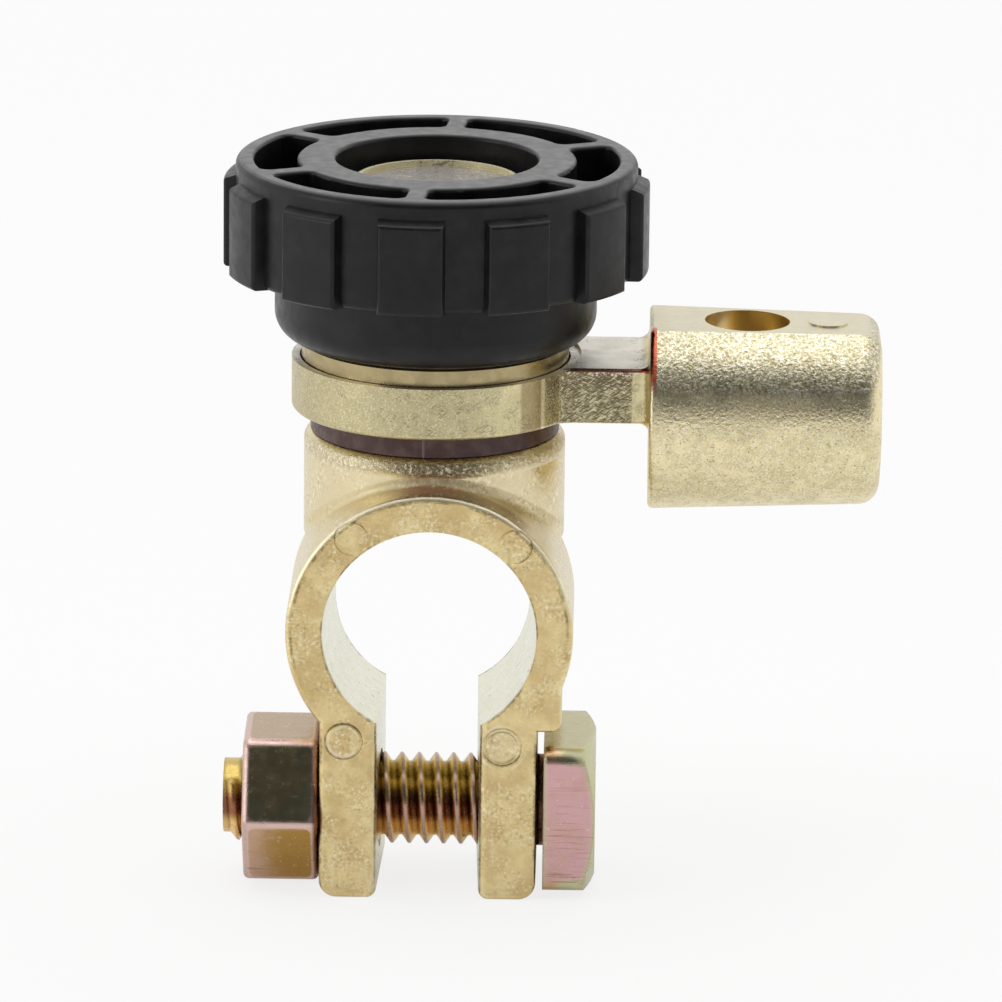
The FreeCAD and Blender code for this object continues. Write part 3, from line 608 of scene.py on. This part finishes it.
    near_ends = maths(tree, "MAXIMUM", ramp(tree, axes["X"], 14.0 * mm, 12.6 * mm),
                      ramp(tree, axes["X"], 16.4 * mm, 17.6 * mm))
    worn_top = product(tree, on_top, off_socket, patches, ramp(tree, near_ends, 0.0, 1.0, 0.25, 1.0))
    top_specks = product(tree, ramp(tree, fine, 0.50, 0.42), worn_top, 0.85)
    colour = blend_colours(tree, top_specks, colour, hollow)
    left_edge = product(tree, within(tree, axes["X"], 18.72 * mm, 19.2 * mm, 0.08 * mm),
                        ramp(tree, axes["Y"], -3.0 * mm, -4.2 * mm),
                        ramp(tree, axes["Z"], 19.6 * mm, 21.6 * mm),
                        ramp(tree, facing["X"], -0.95, -0.7))
    top_edge = product(tree, within(tree, axes["Z"], 21.36 * mm, 21.7 * mm, 0.05 * mm),
                       ramp(tree, axes["Y"], -5.5 * mm, -5.65 * mm))
    line_red = product(tree, top_edge, within(tree, axes["X"], 17.9 * mm, 18.5 * mm, 0.1 * mm))
    line_dark = product(tree, top_edge, within(tree, axes["X"], 12.0 * mm, 17.9 * mm, 0.3 * mm))
    colour = blend_colours(tree, product(tree, line_dark, 0.85), colour, maroon)
    dots = product(tree, within(tree, axes["Z"], 21.0 * mm, 21.28 * mm, 0.06 * mm),
                   within(tree, axes["X"], 13.6 * mm, 17.7 * mm, 0.2 * mm),
                   off_top, ramp(tree, grain(tree, place, 0.28 * mm, 1.0), 0.50, 0.56))
    colour = blend_colours(tree, dots, colour, rosy)
    # A painted highlight line along the ring's junction with the arm.
    corner = product(tree, within(tree, axes["X"], 9.4 * mm, 9.55 * mm, 0.12 * mm),
                     ramp(tree, axes["Y"], -5 * mm, -6 * mm), off_top,
                     ramp(tree, fine, 0.35, 0.6, 0.3, 0.8))
    colour = blend_colours(tree, corner, colour, speck_and_highlight)
    reddened = product(tree, maths(tree, "MAXIMUM", left_edge, line_red), 0.9)
    colour = blend_colours(tree, reddened, colour, red)
    tree.links.new(colour, shader.inputs["Base Color"])
    tree.links.new(maths(tree, "ADD", ramp(tree, cloudy, 0.0, 1.0, 0.30, 0.38),
                         maths(tree, "MULTIPLY", on_top, 0.08)),
                   shader.inputs["Roughness"])
    cuts = maths(tree, "SUBTRACT", ridges, grooves)
    bumps(tree, shader, [(product(tree, coarse, rough_share), 0.05 * mm),
                         (maths(tree, "MULTIPLY", cuts, filed), 0.02 * mm),
                         (product(tree, fine, rough_share), 0.025 * mm)])
    return material


frame["nodes"]["cable_arm"].material_slots[0].material = arm_finish()


# The retaining washer and the contact disc: brass, turned from bar, with fine rings from the tool.
# The disc is smooth from pressing on the ring, with a light line on its upper edge.
def turned_finish(name, colour, shade, ring_size, ring_depth, dirt_within=None):
    """Turned brass with fine rings; dirt lies in the recess within the given radius."""
    material, tree, shader, place = new_finish(name, Metallic=1.0)
    axes = add_node(tree, "ShaderNodeSeparateXYZ", {"Vector": place}).outputs
    around = distance(tree, axes["X"], axes["Y"])
    flattened = {"X": around, "Y": axes["Z"], "Z": 0.0}
    spread = add_node(tree, "ShaderNodeCombineXYZ", flattened).outputs["Vector"]
    rings = grain(tree, spread, ring_size, 3.0)
    mixed = blend_colours(tree, ramp(tree, grain(tree, place, 2.0 * mm, 3.0), 0.35, 0.65), colour, shade)
    worn = ramp(tree, grain(tree, place, 1.0 * mm, 3.0), 0.3, 0.7, 0.24, 0.36)
    layers = [(rings, ring_depth), (grain(tree, place, 0.25 * mm, 2.0), 0.005 * mm)]
    if dirt_within:
        in_recess = product(tree, ramp(tree, around, dirt_within, dirt_within - 0.15 * mm),
                            ramp(tree, axes["Z"], 30 * mm, 31 * mm))
        dirt_and_reflection_grain = grain(tree, place, 0.45 * mm, 4.0, 0.75)
        mixed = blend_colours(tree, product(tree, in_recess, 0.95), mixed, (0.36, 0.335, 0.33))
        mixed = blend_colours(tree, product(tree, ramp(tree, dirt_and_reflection_grain, 0.57, 0.63), in_recess), mixed,
                              (0.90, 0.78, 0.42))
        pip = within(tree, around, 0.0, 0.45 * mm, 0.1 * mm)
        mixed = blend_colours(tree, product(tree, pip, in_recess), mixed, (0.03, 0.025, 0.02))
        layers.append((product(tree, dirt_and_reflection_grain, in_recess), 0.15 * mm))
        on_head = product(tree, ramp(tree, axes["Z"], 36.3 * mm, 36.45 * mm),
                          ramp(tree, axes["Z"], 37.3 * mm, 37.1 * mm))
        # A painted dark reflection, speckled, across the middle of the head's rim; the same grain speckles
        # the recess dirt.
        rim_dark_reflection = product(tree, ramp(tree, dirt_and_reflection_grain, 0.5, 0.58),
                            within(tree, axes["X"], -1.6 * mm, 1.2 * mm, 0.5 * mm))
        mixed = blend_colours(tree, product(tree, rim_dark_reflection, on_head, 0.8), mixed, (0.30, 0.25, 0.20))
        tree.links.new(ramp(tree, on_head, 0.0, 1.0, 1.0, 0.35), shader.inputs["Metallic"])
    tree.links.new(mixed, shader.inputs["Base Color"])
    tree.links.new(worn, shader.inputs["Roughness"])
    bumps(tree, shader, layers)
    return material


disc_brass = turned_finish("turned_disc_brass", (0.48, 0.39, 0.215), (0.43, 0.345, 0.185), 0.2 * mm,
                           0.006 * mm)
frame["nodes"]["contact_disc"].material_slots[0].material = disc_brass
frame["nodes"]["retaining_washer"].material_slots[0].material = disc_brass


# The knob's screw: turned brass, with a coarse rolled thread, a hexagon moulded into the knob and
# a round head in the knob's well, turned flat with a shallow recess that holds dirt.
screw_pitch = 1.25 * mm
screw_crest_r = 4.0 * mm
screw_root_r = 3.38 * mm
screw_brass = turned_finish("turned_screw_brass", (0.98, 0.92, 0.62), (0.88, 0.80, 0.50), 0.25 * mm,
                            0.02 * mm, 6.65 * mm)
screw_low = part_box("knob_stud")[0]
thread_top = 19.9 * mm
run_out = 0.65 * mm
screw_ridge = thread_ridge("screw_ridge", screw_crest_r, screw_root_r - ridge_sunk, screw_pitch,
                           thread_top - screw_low.z - 2 * run_out,
                           Vector((0, 0, screw_low.z + run_out)), Vector((0, 0, 1)), 0.0, screw_brass)


def turn_down_screw(vertex):
    away = math.hypot(vertex.co.x, vertex.co.y)
    if vertex.co.z < thread_top + 0.01 * mm and away > screw_root_r:
        vertex.co.x *= screw_root_r / away
        vertex.co.y *= screw_root_r / away


threaded_copy("knob_screw", "knob_stud", screw_ridge, screw_brass, (), turn_down_screw)


# The hand knob: black glass-filled nylon, moulded round the screw's hexagon, with a fine satin
# grain, softly rounded edges and a little handling shine.
def knob_finish():
    material, tree, shader, place = new_finish("black_nylon", Specular_IOR_Level=0.32)
    black = (0.006, 0.006, 0.007)
    worn = (0.013, 0.012, 0.013)
    paler_top = (0.138, 0.135, 0.134)
    upward = add_node(tree, "ShaderNodeSeparateXYZ",
                      {"Vector": add_node(tree, "ShaderNodeTexCoord").outputs["Normal"]}).outputs["Z"]
    height = add_node(tree, "ShaderNodeSeparateXYZ", {"Vector": place}).outputs["Z"]
    cloudy = ramp(tree, grain(tree, place, 2.5 * mm, 4.0), 0.4, 0.7)
    colour = blend_colours(tree, cloudy, black, worn)
    # Upward faces at the top are coloured a paler grey.
    on_top = product(tree, ramp(tree, upward, 0.7, 1.0), ramp(tree, height, 38.0 * mm, 38.5 * mm),
                     ramp(tree, cloudy, 0.0, 1.0, 0.8, 1.0))
    colour = blend_colours(tree, on_top, colour, paler_top)
    tree.links.new(colour, shader.inputs["Base Color"])
    tree.links.new(ramp(tree, grain(tree, place, 1.0 * mm, 3.0), 0.3, 0.7, 0.30, 0.42),
                   shader.inputs["Roughness"])
    bumps(tree, shader, [(grain(tree, place, 0.9 * mm, 2.0), 0.012 * mm),
                         (grain(tree, place, 0.16 * mm, 2.0), 0.006 * mm)])
    return material


frame["nodes"]["hand_knob"].material_slots[0].material = knob_finish()


# The studio: a plain pale floor at the clamp's foot, a white surround that is darker on the
# camera's side, a large soft lamp overhead and a smaller one to the left.
floor_z = cad_bounds[0][2]
floor_half = 6.0
floor_mesh = bpy.data.meshes.new("floor")
floor_corners = [(-floor_half, -floor_half, floor_z), (floor_half, -floor_half, floor_z),
                 (floor_half, floor_half, floor_z), (-floor_half, floor_half, floor_z)]
floor_mesh.from_pydata(floor_corners, [], [(0, 1, 2, 3)])
floor = bpy.data.objects.new("floor", floor_mesh)
bpy.context.scene.collection.objects.link(floor)
floor_paint = bpy.data.materials.new("pale_floor")
floor_paint.use_nodes = True
floor_tree = floor_paint.node_tree
floor_tree.nodes.remove(floor_tree.nodes["Principled BSDF"])
matt = add_node(floor_tree, "ShaderNodeBsdfDiffuse", {"Color": (0.9, 0.9, 0.9, 1)}).outputs["BSDF"]
white = {"Color": (1, 1, 1, 1), "Strength": 1.0}
glow = add_node(floor_tree, "ShaderNodeEmission", white).outputs["Emission"]
rays = add_node(floor_tree, "ShaderNodeLightPath").outputs
seen = maths(floor_tree, "ADD", maths(floor_tree, "MULTIPLY", rays["Is Camera Ray"], 0.8),
             maths(floor_tree, "MULTIPLY", rays["Is Glossy Ray"], 0.3))
floor_mix = floor_tree.nodes.new("ShaderNodeMixShader")
floor_tree.links.new(seen, floor_mix.inputs[0])
floor_tree.links.new(matt, floor_mix.inputs[1])
floor_tree.links.new(glow, floor_mix.inputs[2])
floor_tree.links.new(floor_mix.outputs[0], floor_tree.nodes["Material Output"].inputs["Surface"])
floor_mesh.materials.append(floor_paint)

world = bpy.data.worlds.new("studio")
bpy.context.scene.world = world
world.use_nodes = True
sky = world.node_tree
towards = add_node(sky, "ShaderNodeSeparateXYZ",
                   {"Vector": add_node(sky, "ShaderNodeTexCoord").outputs["Generated"]}).outputs
camera_side = ramp(sky, towards["Y"], -0.05, -0.65)
not_high = ramp(sky, towards["Z"], 0.90, 0.74)
dark = maths(sky, "MULTIPLY", camera_side, not_high)
surround = ramp(sky, dark, 0.0, 1.0, 0.92, 0.10)
to_camera = add_node(sky, "ShaderNodeLightPath").outputs["Is Camera Ray"]
strength = add_node(sky, "ShaderNodeMix", {0: to_camera, 2: surround, 3: 1.0}, data_type="FLOAT").outputs[0]
backdrop = sky.nodes["Background"]
backdrop.inputs["Color"].default_value = (1, 1, 1, 1)
sky.links.new(strength, backdrop.inputs["Strength"])


def soft_lamp(name, place, aim, side, watts):
    lamp = bpy.data.lights.new(name, "AREA")
    lamp.shape = "SQUARE"
    lamp.size = side
    lamp.energy = watts
    holder = bpy.data.objects.new(name, lamp)
    holder.location = place
    holder.rotation_euler = (Vector(aim) - Vector(place)).to_track_quat("-Z", "Y").to_euler()
    bpy.context.scene.collection.objects.link(holder)


soft_lamp("overhead_lamp", (0.0, 0.05, 0.9), (0, 0, 0), 0.9, 2.1)
soft_lamp("left_lamp", (-0.85, -0.45, 0.25), (0, 0, 0.01), 0.5, 1.7)


# The camera stands in front of the battery's side, a little above, and is rolled by under a degree.
camera_azimuth = math.radians(0.78)
camera_elevation = math.radians(15.55)
camera_roll = math.radians(0.66)
camera_distance = 650 * mm
focal_pixels = 7424.5
picture_pixels = 1002
sensor_width = 36.0
back = Vector((math.sin(camera_azimuth) * math.cos(camera_elevation),
               -math.cos(camera_azimuth) * math.cos(camera_elevation), math.sin(camera_elevation)))
level = Vector((math.cos(camera_azimuth), math.sin(camera_azimuth), 0))
upward = back.cross(level)
right = level * math.cos(camera_roll) + upward * math.sin(camera_roll)
upward = upward * math.cos(camera_roll) - level * math.sin(camera_roll)
aim = Vector((5.86 * math.cos(camera_azimuth), 5.86 * math.sin(camera_azimuth), 8.02)) * mm
lens = bpy.data.cameras.new("camera")
lens.sensor_width = sensor_width
lens.lens = focal_pixels / picture_pixels * sensor_width
lens.clip_start = 0.05
camera = bpy.data.objects.new("camera", lens)
camera_turn = Matrix((right, upward, back)).transposed().to_4x4()
camera.matrix_world = Matrix.Translation(aim + back * camera_distance) @ camera_turn
bpy.context.scene.collection.objects.link(camera)
bpy.context.scene.camera = camera
bpy.context.scene.view_settings.view_transform = "Standard"
